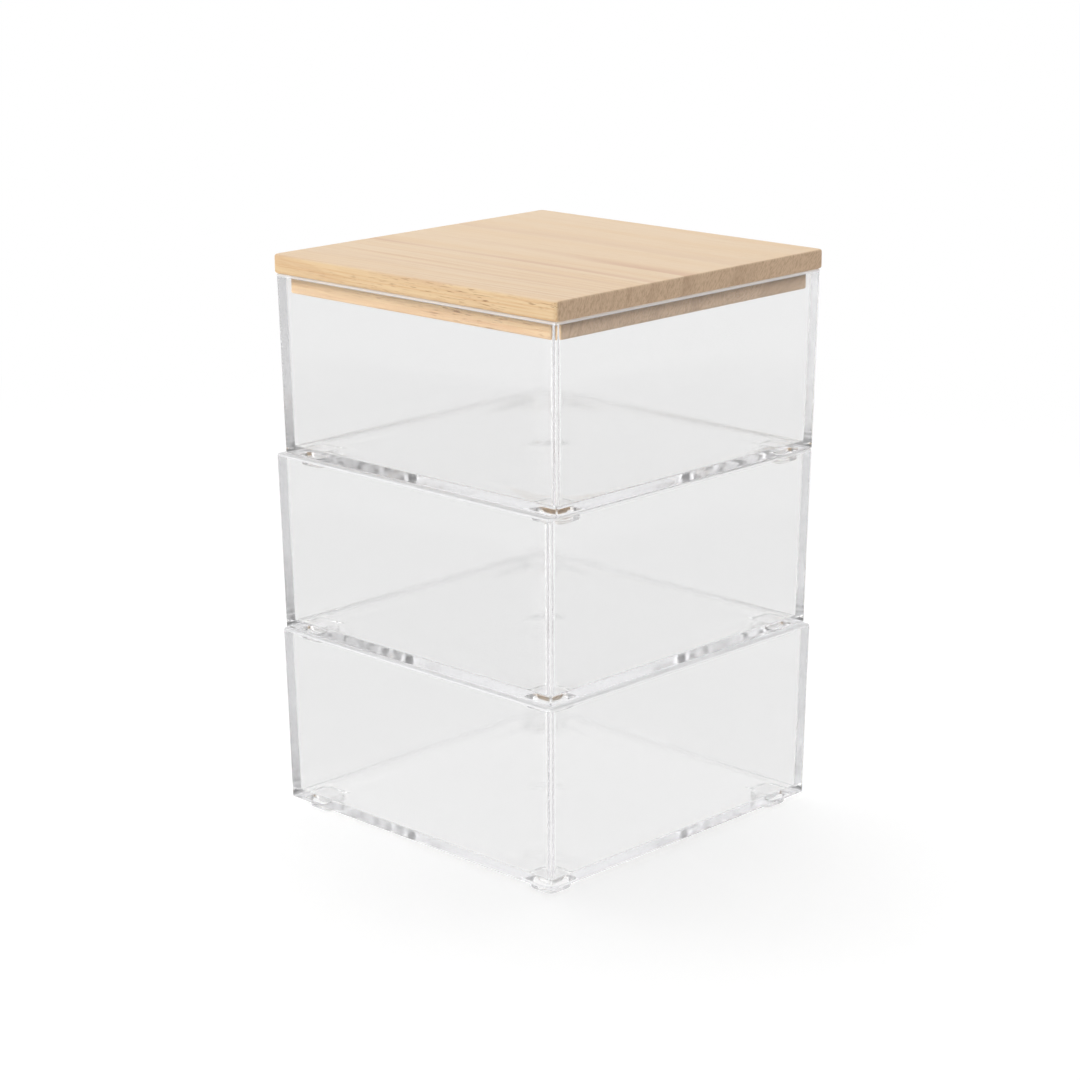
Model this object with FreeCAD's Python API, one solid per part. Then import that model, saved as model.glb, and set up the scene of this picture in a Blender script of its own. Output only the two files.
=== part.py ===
import FreeCAD, Part
import math
import os

# Stack of three clear moulded trays under a wooden lid.
# Millimetres and degrees, +Z up, the feet of the lowest tray stand on z = 0 and
# the lid is centred on the Z axis.

# Lid: a board glued on a smaller board, the plug, that drops into the top tray.
lid_side = 100.0
lid_corner_radius = 1.5
board_thickness = 5.0
board_edge_radius = 0.7
plug_thickness = 5.0
plug_corner_radius = 1.5
plug_edge_radius = 0.4
plug_play = 0.6

# Tray: one clear moulding, wider at the rim than at the floor, on four feet.
tray_height = 47.4
lid_overhang = 0.55
wall_thickness = 2.4
floor_thickness = 2.0
side_draft = 0.8
outer_corner_radius = 0.7
inner_corner_radius = 0.6
floor_corner_radius = 0.5
rim_outer_radius = 0.6
rim_inner_radius = 0.4
base_edge_radius = 0.3

# Feet: they hang inside the rim of the tray below, with play on every side.
foot_side = 8.2
foot_height = 2.8
foot_corner_radius = 2.0
foot_edge_radius = 0.5
foot_play = 1.45

# Gate mark: the shallow round hollow under the middle of each floor.
gate_diameter = 10.0
gate_depth = 0.15

# How each tray sits under what stands in its rim, in shares of the play there:
# shift along X, shift along Y, turn.
upper_seat = (0.12, -0.16, -0.20)
middle_seat = (-0.60, -0.60, -0.16)
lower_seat = (0.58, -0.24, -0.18)

rim_outer_side = lid_side - 2 * lid_overhang
base_outer_side = rim_outer_side - 2 * side_draft
rim_inner_side = rim_outer_side - 2 * wall_thickness
plug_side = rim_inner_side - 2 * plug_play
foot_outer_side = rim_inner_side - 2 * foot_play


def outer_side_at(height):
    """Outside width of a tray at a height over its underside."""
    return base_outer_side + 2 * side_draft * height / tray_height


def tapered_block(low_side, high_side, low_z, high_z):
    """Square block centred on Z whose width changes evenly with height."""
    low = low_side / 2
    high = high_side / 2
    block = Part.makeWedge(-low, 0, -low, -high, -high, low, high_z - low_z, low, high, high)
    block.rotate(FreeCAD.Vector(0, 0, 0), FreeCAD.Vector(1, 0, 0), 90)
    block.translate(FreeCAD.Vector(0, 0, low_z))
    return block


def upright_edges(shape):
    """Edges that run from one level to another."""
    return [edge for edge in shape.Edges if edge.BoundBox.ZLength > 0.1]


def edges_at(shape, level, reach=None):
    """Edges that lie in one level, and within a distance of the Z axis if given."""
    found = []
    for edge in shape.Edges:
        box = edge.BoundBox
        in_level = abs(box.ZMin - level) < 1e-4 and abs(box.ZMax - level) < 1e-4
        spread = max(abs(box.XMin), abs(box.XMax), abs(box.YMin), abs(box.YMax))
        if in_level and (reach is None or spread < reach):
            found.append(edge)
    return found


def rounded_block(low_side, high_side, low_z, high_z, corner_radius):
    """Tapered block with its four upright corners rounded."""
    block = tapered_block(low_side, high_side, low_z, high_z)
    return block.makeFillet(corner_radius, upright_edges(block))


def make_foot():
    """Rounded foot that reaches a little way into the floor above it."""
    root = floor_thickness / 2
    foot = rounded_block(foot_side, foot_side, -foot_height, root, foot_corner_radius)
    return foot.makeFillet(foot_edge_radius, edges_at(foot, -foot_height))


def make_tray():
    """One tray with its underside on z = 0 and its feet below that."""
    body = rounded_block(
        base_outer_side, rim_outer_side, 0, tray_height, outer_corner_radius
    )
    body = body.makeFillet(rim_outer_radius, edges_at(body, tray_height))
    body = body.makeFillet(base_edge_radius, edges_at(body, 0))

    above_rim = tray_height + 2
    cavity = rounded_block(
        outer_side_at(floor_thickness) - 2 * wall_thickness,
        outer_side_at(above_rim) - 2 * wall_thickness,
        floor_thickness,
        above_rim,
        inner_corner_radius,
    )
    cavity = cavity.makeFillet(floor_corner_radius, edges_at(cavity, floor_thickness))
    body = body.cut(cavity)
    inside_rim = edges_at(body, tray_height, rim_inner_side / 2 + 0.1)
    body = body.makeFillet(rim_inner_radius, inside_rim)

    foot_centre = (foot_outer_side - foot_side) / 2
    for x_sign in (-1, 1):
        for y_sign in (-1, 1):
            foot = make_foot()
            foot.translate(FreeCAD.Vector(x_sign * foot_centre, y_sign * foot_centre, 0))
            body = body.fuse(foot)
    body = body.removeSplitter()

    gate_radius = gate_diameter / 2
    ball_radius = (gate_radius**2 + gate_depth**2) / (2 * gate_depth)
    ball = Part.makeSphere(ball_radius, FreeCAD.Vector(0, 0, gate_depth - ball_radius))
    return body.cut(ball)


def place_under(above, seat, play, reach):
    """Shift along X, shift along Y and turn in degrees of a tray under another piece."""
    full_turn = math.degrees(play / reach)
    return (
        above[0] + seat[0] * play,
        above[1] + seat[1] * play,
        above[2] + seat[2] * full_turn,
    )


def seated(tray, place, level):
    """Copy of the tray turned and shifted to its place, raised to a level."""
    shift_x, shift_y, turn = place
    placed = tray.copy()
    placed.rotate(FreeCAD.Vector(0, 0, 0), FreeCAD.Vector(0, 0, 1), turn)
    placed.translate(FreeCAD.Vector(shift_x, shift_y, level))
    return placed


def make_board(level):
    """Top board of the lid, its underside at a level."""
    top = level + board_thickness
    board = rounded_block(lid_side, lid_side, level, top, lid_corner_radius)
    board = board.makeFillet(board_edge_radius, edges_at(board, level))
    return board.makeFillet(board_edge_radius, edges_at(board, top))


def make_plug(level):
    """Lower board of the lid, its top face at a level."""
    low = level - plug_thickness
    plug = rounded_block(plug_side, plug_side, low, level, plug_corner_radius)
    return plug.makeFillet(plug_edge_radius, edges_at(plug, low))


def single_solid(shape):
    """The one solid of a shape."""
    assert len(shape.Solids) == 1 and shape.isValid()
    return shape.Solids[0]


lower_level = foot_height
middle_level = lower_level + tray_height
upper_level = middle_level + tray_height
lid_level = upper_level + tray_height

lid_place = (0.0, 0.0, 0.0)
upper_place = place_under(lid_place, upper_seat, plug_play, plug_side / 2)
middle_place = place_under(upper_place, middle_seat, foot_play, foot_outer_side / 2)
lower_place = place_under(middle_place, lower_seat, foot_play, foot_outer_side / 2)

tray = make_tray()
parts = {
    "lower_tray": seated(tray, lower_place, lower_level),
    "middle_tray": seated(tray, middle_place, middle_level),
    "upper_tray": seated(tray, upper_place, upper_level),
    "lid_plug": make_plug(lid_level),
    "lid_board": make_board(lid_level),
}

os.makedirs("parts", exist_ok=True)
for node, shape in parts.items():
    single_solid(shape).exportStep("parts/" + node + ".step")
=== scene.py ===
import bmesh
import bpy
import math
from mathutils import Matrix, Vector


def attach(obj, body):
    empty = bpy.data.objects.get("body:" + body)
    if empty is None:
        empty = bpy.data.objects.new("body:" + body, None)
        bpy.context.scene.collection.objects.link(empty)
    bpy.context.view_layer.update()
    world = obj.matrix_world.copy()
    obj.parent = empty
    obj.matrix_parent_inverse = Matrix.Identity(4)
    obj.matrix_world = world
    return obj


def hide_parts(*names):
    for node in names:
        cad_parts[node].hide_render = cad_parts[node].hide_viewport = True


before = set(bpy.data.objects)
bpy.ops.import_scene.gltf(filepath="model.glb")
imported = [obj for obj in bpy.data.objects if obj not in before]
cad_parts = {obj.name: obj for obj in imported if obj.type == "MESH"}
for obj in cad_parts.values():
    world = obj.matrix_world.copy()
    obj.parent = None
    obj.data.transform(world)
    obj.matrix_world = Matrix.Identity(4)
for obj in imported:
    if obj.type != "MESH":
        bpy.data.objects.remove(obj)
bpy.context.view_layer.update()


# Clear trays. Three copies of one square tray, moulded in clear hard plastic, wider
# at the rim than at the floor. Each stands on four small feet that drop inside the
# rim of the tray below. Metres, with the tray's underside on z = 0 until it is placed.
tray_height = 0.0474
rim_side = 0.0989
base_side = 0.0973
wall = 0.0024
floor_slab = 0.002
outer_corner = 0.0007
inner_corner = 0.0006
rim_outer_round = 0.0006
rim_inner_round = 0.0004
floor_round = 0.0005
base_round = 0.0003
air_gap = 0.00003
# How far down from the rim the painted white highlight reaches.
rim_highlight_depth = 0.0009

foot_side = 0.0082
foot_height = 0.0028
foot_corner = 0.002
foot_edge = 0.0005
foot_play = 0.00145
foot_span = rim_side - 2 * wall - 2 * foot_play
foot_centre = (foot_span - foot_side) / 2

gate_radius = 0.005
gate_depth = 0.00015
gate_lip = 0.0005
gate_rings = (0.0042, 0.0032, 0.0022, 0.0012, 0.0005)

same_height = 1e-5


def edges_where(mesh, test):
    """Edges of a mesh whose two ends both pass a test."""
    return [edge for edge in mesh.edges if all(test(vert.co) for vert in edge.verts)]


def upright(mesh, test):
    """Edges that climb, at places that pass a test."""
    found = []
    for edge in edges_where(mesh, test):
        low, high = (vert.co for vert in edge.verts)
        if abs(low.z - high.z) > 0.001:
            found.append(edge)
    return found


def anywhere(co):
    return True


def reach(co):
    """Distance from the middle of a square tray, measured square to its walls."""
    return max(abs(co.x), abs(co.y))


def round_edges(mesh, edges, radius, segments):
    bmesh.ops.bevel(
        mesh,
        geom=edges,
        offset=radius,
        offset_type="OFFSET",
        affect="EDGES",
        segments=segments,
        profile=0.5,
        material=-1,
        clamp_overlap=False,
    )


def square_block(side, low, high):
    """Square block of one width, centred on the Z axis, from one height to another."""
    mesh = bmesh.new()
    bmesh.ops.create_cube(mesh, size=1)
    bmesh.ops.scale(mesh, vec=(side, side, high - low), verts=mesh.verts)
    bmesh.ops.translate(mesh, vec=(0, 0, (low + high) / 2), verts=mesh.verts)
    return mesh


def drafted_box(low_side, high_side, low, high, corner):
    """Square box, open at the top, whose sides lean and whose upright edges are round."""
    mesh = square_block(high_side, low, high)
    lean = low_side / high_side
    bottom = [vert for vert in mesh.verts if vert.co.z < (low + high) / 2]
    bmesh.ops.scale(mesh, vec=(lean, lean, 1), verts=bottom)
    round_edges(mesh, upright(mesh, anywhere), corner, 6)
    mouth = [face for face in mesh.faces if face.normal.z > 0.99]
    bmesh.ops.delete(mesh, geom=mouth, context="FACES_ONLY")
    return mesh


def tray_body():
    """Tray without feet: an outer and an inner box joined at the rim, edges softened."""
    top = tray_height - air_gap
    draft = (rim_side - base_side) / tray_height
    mesh = drafted_box(base_side, rim_side, 0, top, outer_corner)
    inside_low = base_side + draft * floor_slab - 2 * wall
    hollow = drafted_box(inside_low, rim_side - 2 * wall, floor_slab, top, inner_corner)
    bmesh.ops.reverse_faces(hollow, faces=hollow.faces)
    inner = bpy.data.meshes.new("hollow")
    hollow.to_mesh(inner)
    hollow.free()
    mesh.from_mesh(inner)
    bpy.data.meshes.remove(inner)
    mouths = [edge for edge in mesh.edges if edge.is_boundary]
    bmesh.ops.bridge_loops(mesh, edges=mouths)
    bmesh.ops.recalc_face_normals(mesh, faces=mesh.faces)

    mid_wall = rim_side / 2 - wall / 2
    loops = (
        (lambda co: co.z > top - same_height and reach(co) > mid_wall, rim_outer_round),
        (lambda co: co.z > top - same_height and reach(co) < mid_wall, rim_inner_round),
        (lambda co: abs(co.z - floor_slab) < same_height, floor_round),
        (lambda co: co.z < same_height, base_round),
    )
    for on_loop, radius in loops:
        round_edges(mesh, edges_where(mesh, on_loop), radius, 4)
    return mesh


def underside(mesh):
    """Flat faces that look straight down."""
    return [face for face in mesh.faces if face.normal.z < -0.999]


def add_feet(mesh):
    """Mark out the feet and the gate on the underside, then draw the feet down."""
    half_foot = foot_side / 2
    half_gate = gate_radius * 1.3
    cuts = (-foot_centre - half_foot, -foot_centre + half_foot, -half_gate)
    cuts += tuple(-cut for cut in cuts)
    for axis in (Vector((1, 0, 0)), Vector((0, 1, 0))):
        for cut in cuts:
            under = underside(mesh)
            around = dict.fromkeys(edge for face in under for edge in face.edges)
            corners = dict.fromkeys(vert for face in under for vert in face.verts)
            bmesh.ops.bisect_plane(
                mesh,
                geom=under + list(around) + list(corners),
                dist=1e-6,
                plane_co=axis * cut,
                plane_no=axis,
            )
    feet = []
    for face in underside(mesh):
        middle = face.calc_center_median()
        off_x = abs(abs(middle.x) - foot_centre)
        off_y = abs(abs(middle.y) - foot_centre)
        if max(off_x, off_y) < half_foot / 4:
            feet.append(face)
    feet = bmesh.ops.extrude_discrete_faces(mesh, faces=feet)["faces"]
    foot_verts = dict.fromkeys(vert for face in feet for vert in face.verts)
    bmesh.ops.translate(mesh, vec=(0, 0, -foot_height), verts=list(foot_verts))
    round_edges(mesh, upright(mesh, lambda co: co.z < same_height), foot_corner, 5)
    sole = edges_where(mesh, lambda co: co.z < -foot_height + same_height)
    round_edges(mesh, sole, foot_edge, 3)


def middle_face(mesh):
    """The face in the middle of the underside, in a list."""
    found = []
    for face in underside(mesh):
        middle = face.calc_center_median()
        if middle.to_2d().length < gate_radius / 50 and abs(middle.z) < same_height:
            found.append(face)
    return found


def sink_gate(mesh):
    """Make the middle of the underside round, then sink it ring by ring."""
    bmesh.ops.subdivide_edges(mesh, edges=middle_face(mesh)[0].edges, cuts=7)
    gate = middle_face(mesh)
    bmesh.ops.inset_individual(mesh, faces=gate, thickness=gate_lip)
    for vert in gate[0].verts:
        vert.co.x, vert.co.y = vert.co.to_2d().normalized() * gate_radius
    ball = (gate_radius**2 + gate_depth**2) / (2 * gate_depth)
    ring = gate_radius
    for next_ring in gate_rings:
        rise = math.sqrt(ball**2 - next_ring**2) - math.sqrt(ball**2 - ring**2)
        bmesh.ops.inset_individual(mesh, faces=gate, thickness=ring - next_ring, depth=-rise)
        ring = next_ring


def show_mesh(name, mesh, material):
    """Object for a finished mesh, with soft shading held flat on the flat faces."""
    data = bpy.data.meshes.new(name)
    mesh.to_mesh(data)
    mesh.free()
    data.materials.append(material)
    data.polygons.foreach_set("use_smooth", [True] * len(data.polygons))
    piece = bpy.data.objects.new(name, data)
    bpy.context.scene.collection.objects.link(piece)
    weighted = piece.modifiers.new("flat faces stay flat", "WEIGHTED_NORMAL")
    weighted.weight = 100
    weighted.keep_sharp = True
    return piece


class Wire:
    """An output inside a material. Sums on wires add Math nodes, node() any other."""

    def __init__(self, tree, socket=None):
        self.tree = tree
        self.socket = socket

    def node(self, kind, settings=None, inputs=None, output=0):
        made = self.tree.nodes.new(kind)
        for key, value in (settings or {}).items():
            setattr(made, key, value)
        for key, value in (inputs or {}).items():
            if isinstance(value, Wire):
                self.tree.links.new(value.socket, made.inputs[key])
            else:
                made.inputs[key].default_value = value
        return Wire(self.tree, made.outputs[output] if made.outputs else None)

    def sum(self, operation, *terms):
        return self.node("ShaderNodeMath", {"operation": operation}, dict(enumerate(terms)))

    def __add__(self, other):
        return self.sum("ADD", self, other)

    def __sub__(self, other):
        return self.sum("SUBTRACT", self, other)

    def __rsub__(self, other):
        return self.sum("SUBTRACT", other, self)

    def __mul__(self, other):
        return self.sum("MULTIPLY", self, other)

    def __pow__(self, other):
        return self.sum("POWER", self, other)

    def __rtruediv__(self, other):
        return self.sum("DIVIDE", other, self)

    __radd__ = __add__
    __rmul__ = __mul__


def new_finish(name):
    """An empty material and a wire to start its nodes from."""
    material = bpy.data.materials.new(name)
    material.use_nodes = True
    material.node_tree.nodes.clear()
    return material, Wire(material.node_tree)


def srgb(red, green, blue):
    """Linear colour of three 0 to 255 screen values."""
    parts = (value / 255 for value in (red, green, blue))
    return tuple(p / 12.92 if p < 0.04045 else ((p + 0.055) / 1.055) ** 2.4 for p in parts)


def between(value, low, high):
    """Soft step from 0 at the low value to 1 at the high one."""
    return value.node(
        "ShaderNodeMapRange",
        {"interpolation_type": "SMOOTHSTEP"},
        {"Value": value, "From Min": low, "From Max": high},
    )


def blend(share, first, second):
    """Mix of two colours, all of the second where the share is 1."""
    colours = [one if isinstance(one, Wire) else (*srgb(*one), 1) for one in (first, second)]
    return share.node(
        "ShaderNodeMix",
        {"data_type": "RGBA"},
        {"Factor": share, 6: colours[0], 7: colours[1]},
        output=2,
    )


def clear_plastic(name, base, rim_highlight):
    """Clear plastic: polished floor edge, softer walls, a painted white highlight on the rim, a
    little white at the feet.
    """
    material, start = new_finish(name)
    place = start.node("ShaderNodeTexCoord", output="Object")
    height = start.node("ShaderNodeSeparateXYZ", inputs={0: place}, output="Z")
    rim = base + tray_height
    floor_top = base + floor_slab
    at_rim = between(height, rim - rim_highlight_depth, rim - rim_outer_round)
    at_feet = between(height, base, base - base_round)
    at_floor = between(height, floor_top + floor_round, floor_top)
    plastic = start.node(
        "ShaderNodeBsdfPrincipled",
        inputs={
            "Base Color": (*srgb(251, 251, 251), 1),
            "Roughness": 0.08 - at_floor * 0.04 + at_feet * 0.05,
            "IOR": 1.55,
            "Transmission Weight": 1.0,
        },
    )
    # Painted highlight: opaque near-white mixed in along the rim's outer rounding stands in for
    # the light the rim catches. The feet take a little of the same white.
    rim_highlight_and_foot_white_colour = blend(at_rim, (248, 248, 250), (250, 250, 252))
    rim_highlight_and_foot_white = start.node(
        "ShaderNodeBsdfPrincipled", inputs={"Base Color": rim_highlight_and_foot_white_colour, "Roughness": 0.35}
    )
    rim_highlight_and_foot_white_share = at_rim * rim_highlight + at_feet * 0.1
    body = start.node("ShaderNodeMixShader", inputs={0: rim_highlight_and_foot_white_share, 1: plastic, 2: rim_highlight_and_foot_white})
    passing = start.node("ShaderNodeBsdfTransparent", inputs={"Color": (0.99, 0.99, 0.99, 1)})
    shadow = start.node("ShaderNodeLightPath", output="Is Shadow Ray")
    surface = start.node("ShaderNodeMixShader", inputs={0: shadow, 1: body, 2: passing})
    depth = start.node(
        "ShaderNodeVolumeAbsorption",
        inputs={"Color": (0.984, 0.984, 0.988, 1), "Density": 30.0},
    )
    start.node("ShaderNodeOutputMaterial", inputs={"Surface": surface, "Volume": depth})
    return material


def seat_under(above, shares, play, arm):
    """Shift along X, shift along Y and turn in degrees of a tray under another piece."""
    full_turn = math.degrees(play / arm)
    return (
        above[0] + shares[0] * play,
        above[1] + shares[1] * play,
        above[2] + shares[2] * full_turn,
    )


# How each tray sits under what stands in its rim, in shares of the play there: shift
# along X, shift along Y, turn.
plug_play = 0.0006
plug_side = rim_side - 2 * wall - 2 * plug_play
upper_seat = seat_under((0, 0, 0), (0.12, -0.16, -0.20), plug_play, plug_side / 2)
middle_seat = seat_under(upper_seat, (-0.60, -0.60, -0.16), foot_play, foot_span / 2)
lower_seat = seat_under(middle_seat, (0.58, -0.24, -0.18), foot_play, foot_span / 2)

lower_level = foot_height
# The upper tray's rim carries more of the painted highlight than the two below.
for name, body, step, rim_highlight, seat in (
    ("tray_lower", "lower_tray", 0, 0.4, lower_seat),
    ("tray_middle", "middle_tray", 1, 0.4, middle_seat),
    ("tray_upper", "upper_tray", 2, 0.65, upper_seat),
):
    shift_x, shift_y, turn = seat
    level = lower_level + step * tray_height
    mesh = tray_body()
    add_feet(mesh)
    sink_gate(mesh)
    turned = Matrix.Rotation(math.radians(turn), 4, "Z")
    placed = Matrix.Translation((shift_x, shift_y, level)) @ turned
    bmesh.ops.transform(mesh, matrix=placed, verts=mesh.verts)
    tray = show_mesh(name, mesh, clear_plastic("clear_plastic_" + name, level, rim_highlight))
    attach(tray, body)
    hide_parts(body)


# Lid. Two square boards of pale, straight-grained solid wood, sanded and left bare,
# glued face to face: the smaller one drops into the upper tray, the larger one rests
# on the tray's rim. The grain runs along X, so the X sides show end grain.
lid_level = lower_level + 3 * tray_height
board_side = 0.1
board_thickness = 0.005
board_edge = 0.0007
plug_thickness = 0.005
plug_edge = 0.0004
lid_corner = 0.0015
blend_deep = 0.0006
blend_shallow = 0.0001

# One wood painted two ways by how light falls: the side tone carries painted warm light, the top
# tone a painted sheen.
side_tone_painted_warm_light = (236, 206, 162)
top_tone_painted_sheen = (230, 205, 174)
broad_tone = (226, 192, 148)
late_tone = (205, 160, 128)
streak_tone = (212, 170, 126)
fibre_tone = (205, 164, 118)
side_line_tone = (212, 160, 108)
pore_tone = (158, 102, 60)
end_tone = (203, 174, 144)
end_late_tone = (160, 130, 102)
end_streak_tone = (172, 142, 112)
end_fleck_tone = (160, 130, 100)

ring_pace = 0.269
last_ring = 0.1527
first_ring = 7.55


def square_board(side, low, high, edge, edges_at_top):
    """Board with round corners and softened edges, the upper ones only where asked."""
    mesh = square_block(side, low, high)
    round_edges(mesh, upright(mesh, anywhere), lid_corner, 6)
    soft = anywhere if edges_at_top else lambda co: co.z < low + same_height
    climbing = upright(mesh, soft)
    level = [edge for edge in edges_where(mesh, soft) if edge not in climbing]
    round_edges(mesh, level, edge, 4)
    return mesh


def pale_wood(name, side, top, heart_y, heart_z, seed):
    """Bare wood with its grain along X and its rings about a heart past the back edge."""
    material, start = new_finish(name)
    place = start.node("ShaderNodeTexCoord", output="Object")
    along, across, height = (
        start.node("ShaderNodeSeparateXYZ", inputs={0: place}, output=axis) for axis in "XYZ"
    )
    end = side / 2
    end_face = between(start.sum("ABSOLUTE", along), end - blend_deep, end - blend_shallow)
    top_face = between(height, top - blend_deep, top - blend_shallow)

    def noise(spot, detail):
        return start.node(
            "ShaderNodeTexNoise",
            inputs={"Vector": spot, "Scale": 1.0, "Detail": detail, "Roughness": 0.55},
        )

    def spot_at(x, y, z):
        return start.node("ShaderNodeCombineXYZ", inputs={"X": x, "Y": y, "Z": z})

    def stretched(x_scale, yz_scale, detail, shift=0.0):
        """Noise drawn out along the board."""
        spot = start.node(
            "ShaderNodeMapping",
            inputs={
                "Vector": place,
                "Scale": (x_scale, yz_scale, yz_scale),
                "Location": (shift, seed, 0),
            },
        )
        return noise(spot, detail)

    # Rings crowd together away from the heart, and sway a little along the board.
    sway = (stretched(9, 22, 1) - 0.5) * 0.008
    out = across - heart_y
    up = height - heart_z
    radius = (out * out + up * up) ** 0.5 + sway
    ring = start.sum("FRACT", ring_pace / (last_ring - radius) + (first_ring + seed))
    late = between(ring, 0.55, 0.92) * between(ring, 1.0, 0.93)

    def grain(x_scale, ring_scale, detail):
        """Noise drawn out along the board that follows the rings."""
        return noise(spot_at(along * x_scale, radius * ring_scale, seed * 7.3), detail)

    outer = between(radius, 0.086, 0.118)
    main = between(radius, 0.078, 0.085)
    patchy = between(grain(11, 90, 1), 0.35, 0.65)
    broad = between(grain(4, 160, 1), 0.4, 0.7)
    streak = between(grain(13, 1000, 3), 0.47, 0.68)
    fibre = between(grain(70, 4200, 2), 0.45, 0.7)
    cluster = between(stretched(30, 240, 1, 3.1), 0.40, 0.60)
    cluster = cluster * (0.25 + 0.75 * between(along, -0.04, 0.03))
    pores = between(stretched(260, 3600, 1, 5.7), 0.56, 0.68) * cluster
    side_lines = between(stretched(28, 1900, 3, 4.4), 0.47, 0.66) * (1 - top_face)
    flecks = between(noise(spot_at(radius * 3200, height * 900, across * 300), 2), 0.45, 0.62)

    late_share = late * patchy * (0.65 - 0.25 * outer) * (0.35 + 0.65 * main)
    # Painted light: the sides are painted warmer and yellower and the top paler, over one wood
    # colour.
    colour = blend(top_face, side_tone_painted_warm_light, top_tone_painted_sheen)
    colour = blend(broad * 0.35, colour, broad_tone)
    colour = blend(late_share, colour, late_tone)
    colour = blend(streak * (0.10 + 0.30 * outer), colour, streak_tone)
    colour = blend(fibre * 0.14, colour, fibre_tone)
    colour = blend(side_lines * 0.42, colour, side_line_tone)
    colour = blend(pores * (0.8 - 0.7 * top_face), colour, pore_tone)
    ends = blend(late * (0.12 + 0.28 * patchy), end_tone, end_late_tone)
    ends = blend(streak * 0.12, ends, end_streak_tone)
    ends = blend(flecks * 0.50, ends, end_fleck_tone)
    colour = blend(end_face, colour, ends)

    relief = fibre * -0.25 + pores * -0.8 + late * -0.3 + flecks * end_face * -0.5
    bump = start.node(
        "ShaderNodeBump", inputs={"Height": relief, "Strength": 0.3, "Distance": 0.0002}
    )
    wood = start.node(
        "ShaderNodeBsdfPrincipled",
        inputs={
            "Base Color": colour,
            "Roughness": 0.48 + fibre * 0.08,
            "Specular IOR Level": 0.45,
            "Normal": bump,
        },
    )
    start.node("ShaderNodeOutputMaterial", inputs={"Surface": wood})
    return material


board_top = lid_level + board_thickness
board_mesh = square_board(board_side, lid_level, board_top, board_edge, True)
board_wood = pale_wood(
    "pale_wood_board", board_side, board_top, heart_y=0.080, heart_z=0.115, seed=0.0
)
board = show_mesh("lid_top_board", board_mesh, board_wood)
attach(board, "lid")
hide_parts("lid_board")

# The plug's top face is glued to the board, so its wood starts its paler top colour, a painted
# sheen, above that.
plug_mesh = square_board(plug_side, lid_level - plug_thickness, lid_level, plug_edge, False)
plug_wood = pale_wood(
    "pale_wood_plug", plug_side, lid_level + 0.001, heart_y=0.075, heart_z=0.098, seed=0.37
)
plug = show_mesh("lid_plug_board", plug_mesh, plug_wood)
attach(plug, "lid")
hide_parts("lid_plug")


# Floor and surround. A plain white floor that runs out of sight under an even white
# surround. Rays through clear plastic pass the floor and meet the surround, a little
# greyer, and dark far out to both sides, which draws the plastic's edges.
camera_place = Vector((0.494042, -0.520471, 0.270388))
camera_target = Vector((-0.001883, -0.001800, 0.073354))
away = (camera_target - camera_place).to_2d().normalized()
aside = Vector((away.y, -away.x))
seen_white = 1.0
clear_white = 0.955
clear_side = 0.18
fill_white = 0.52
floor_white = 0.90
floor_lift = 0.20
floor_reach = 8
fade_start = 0.25
fade_end = 0.6
low_side_share = 0.37

floor_mesh = bmesh.new()
bmesh.ops.create_grid(floor_mesh, x_segments=1, y_segments=1, size=floor_reach)
floor_data = bpy.data.meshes.new("floor")
floor_mesh.to_mesh(floor_data)
floor_mesh.free()
ground = bpy.data.objects.new("floor", floor_data)
bpy.context.scene.collection.objects.link(ground)


def backdrop_tone(start, darkness):
    """Brightness met by plain sight, by sight through plastic, and by light itself."""
    sight = start.node("ShaderNodeLightPath", output="Is Camera Ray")
    mirrored = start.node("ShaderNodeLightPath", output="Is Glossy Ray")
    through = start.node("ShaderNodeLightPath", output="Is Transmission Ray")
    plastic = start.sum("MAXIMUM", mirrored, through)
    clear = clear_white - (clear_white - clear_side) * darkness
    tone = sight * seen_white + plastic * clear + (1 - sight - plastic) * fill_white
    return tone, sight, plastic


floor_finish, start = new_finish("white_floor")
spot = start.node("ShaderNodeTexCoord", output="Object")
outward = start.node("ShaderNodeVectorMath", {"operation": "LENGTH"}, {0: spot}, "Value")
tone, sight, plastic = backdrop_tone(start, 0.0)
lit = start.node(
    "ShaderNodeBsdfPrincipled",
    inputs={
        "Base Color": (floor_white, floor_white, floor_white, 1),
        "Roughness": 0.9,
        "Emission Color": (1, 1, 1, 1),
        "Emission Strength": sight * floor_lift,
    },
)
even = start.node("ShaderNodeEmission", inputs={"Color": (1, 1, 1, 1), "Strength": tone})
unseen = start.node("ShaderNodeBsdfTransparent")
far = start.node("ShaderNodeMixShader", inputs={0: plastic, 1: even, 2: unseen})
evenness = start.sum("MAXIMUM", between(outward, fade_start, fade_end), plastic * 0.85)
floor_surface = start.node("ShaderNodeMixShader", inputs={0: evenness, 1: lit, 2: far})
start.node("ShaderNodeOutputMaterial", inputs={"Surface": floor_surface})
floor_data.materials.append(floor_finish)

world = bpy.data.worlds.new("surround")
bpy.context.scene.world = world
world.use_nodes = True
world.node_tree.nodes.clear()
start = Wire(world.node_tree)
toward = start.node("ShaderNodeTexCoord", output="Generated")
sideways = start.node(
    "ShaderNodeVectorMath", {"operation": "DOT_PRODUCT"}, {0: toward, 1: (*aside, 0)}, "Value"
)
rise = start.node("ShaderNodeSeparateXYZ", inputs={0: toward}, output="Z")
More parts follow.
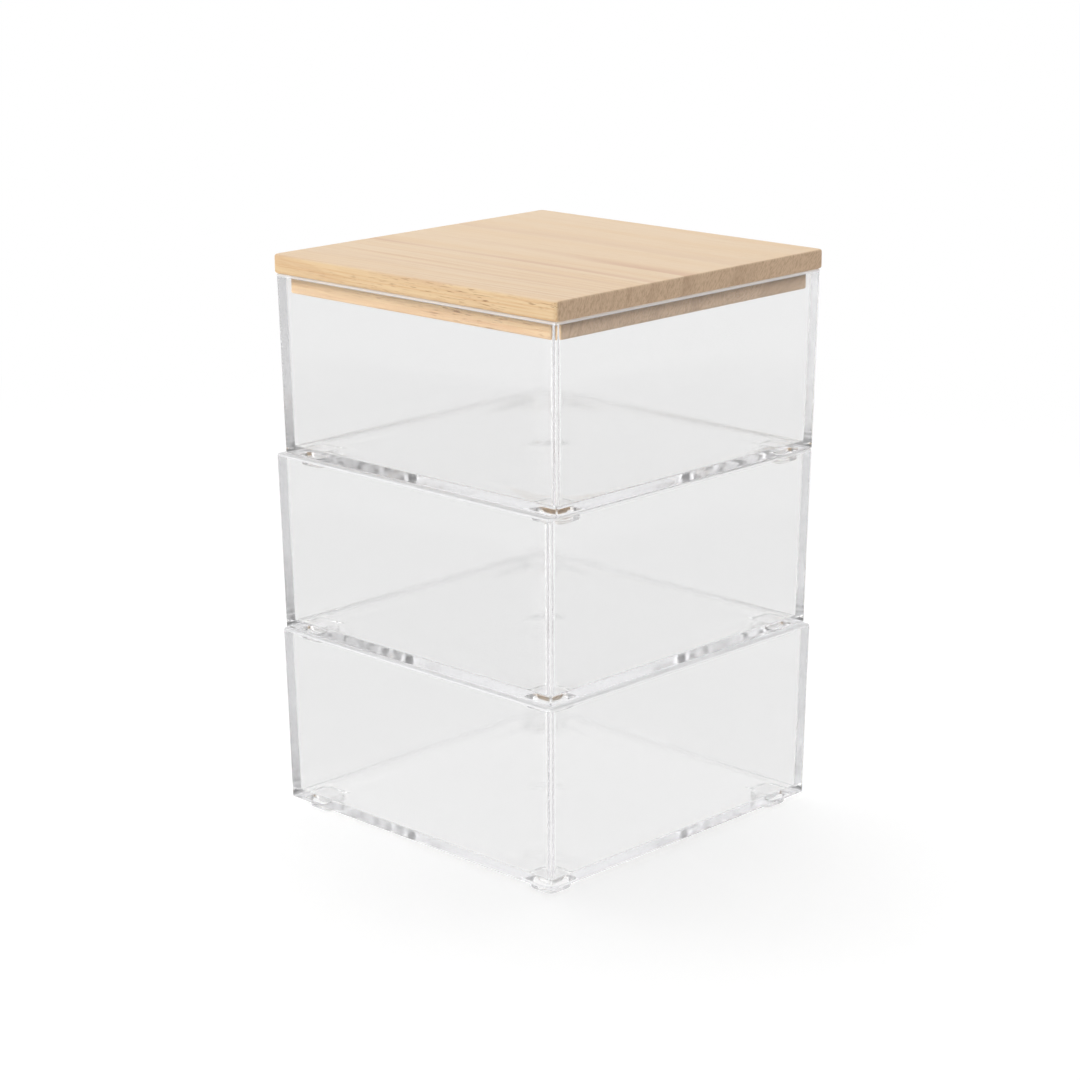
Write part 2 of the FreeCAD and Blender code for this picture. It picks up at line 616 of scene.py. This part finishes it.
# The sides are darkest above the horizon, and keep a share of that below it.
to_side = between(start.sum("ABSOLUTE", sideways), 0.88, 0.95)
rising = between(rise, -0.10, 0.05)
darkness = to_side * (low_side_share + (1 - low_side_share) * rising)
tone = backdrop_tone(start, darkness)[0]
background = start.node("ShaderNodeBackground", inputs={"Color": (1, 1, 1, 1), "Strength": tone})
start.node("ShaderNodeOutputWorld", inputs={"Surface": background})


# Lamps and camera. A broad soft lamp overhead and two smaller ones, at the front left
# and at the right. The camera looks at the stack's front corner from a little above.
def soft_lamp(name, place, target, size, power):
    light = bpy.data.lights.new(name, "AREA")
    light.shape = "SQUARE"
    light.size = size
    light.energy = power
    lamp = bpy.data.objects.new(name, light)
    lamp.location = place
    lamp.rotation_euler = (Vector(target) - Vector(place)).to_track_quat("-Z", "Y").to_euler()
    bpy.context.scene.collection.objects.link(lamp)


soft_lamp("lamp_overhead", (-0.25, 0.1, 1.1), (0, 0, 0.08), size=1.0, power=5.2)
soft_lamp("lamp_front_left", (-0.35, -1.0, 0.24), (0, 0, 0.1), size=0.5, power=4.4)
soft_lamp("lamp_right", (1.0, 0.35, 0.35), (0, 0, 0.1), size=0.5, power=2.15)

focal_length = 94.274
camera_roll = math.radians(-0.28678)
lens = bpy.data.cameras.new("camera")
lens.sensor_width = 36
lens.lens = focal_length
lens.clip_start = 0.01
lens.clip_end = 50
camera = bpy.data.objects.new("camera", lens)
ahead = (camera_target - camera_place).normalized()
level_right = ahead.cross(Vector((0, 0, 1))).normalized()
level_up = level_right.cross(ahead)
right = level_right * math.cos(camera_roll) + level_up * math.sin(camera_roll)
up = level_up * math.cos(camera_roll) - level_right * math.sin(camera_roll)
turned = Matrix((right, up, -ahead)).transposed().to_4x4()
camera.matrix_world = Matrix.Translation(camera_place) @ turned
bpy.context.scene.collection.objects.link(camera)
bpy.context.scene.camera = camera

light_bounces = 64
scene = bpy.context.scene
scene.view_settings.view_transform = "Standard"
scene.cycles.max_bounces = light_bounces
scene.cycles.transmission_bounces = light_bounces
scene.cycles.glossy_bounces = light_bounces
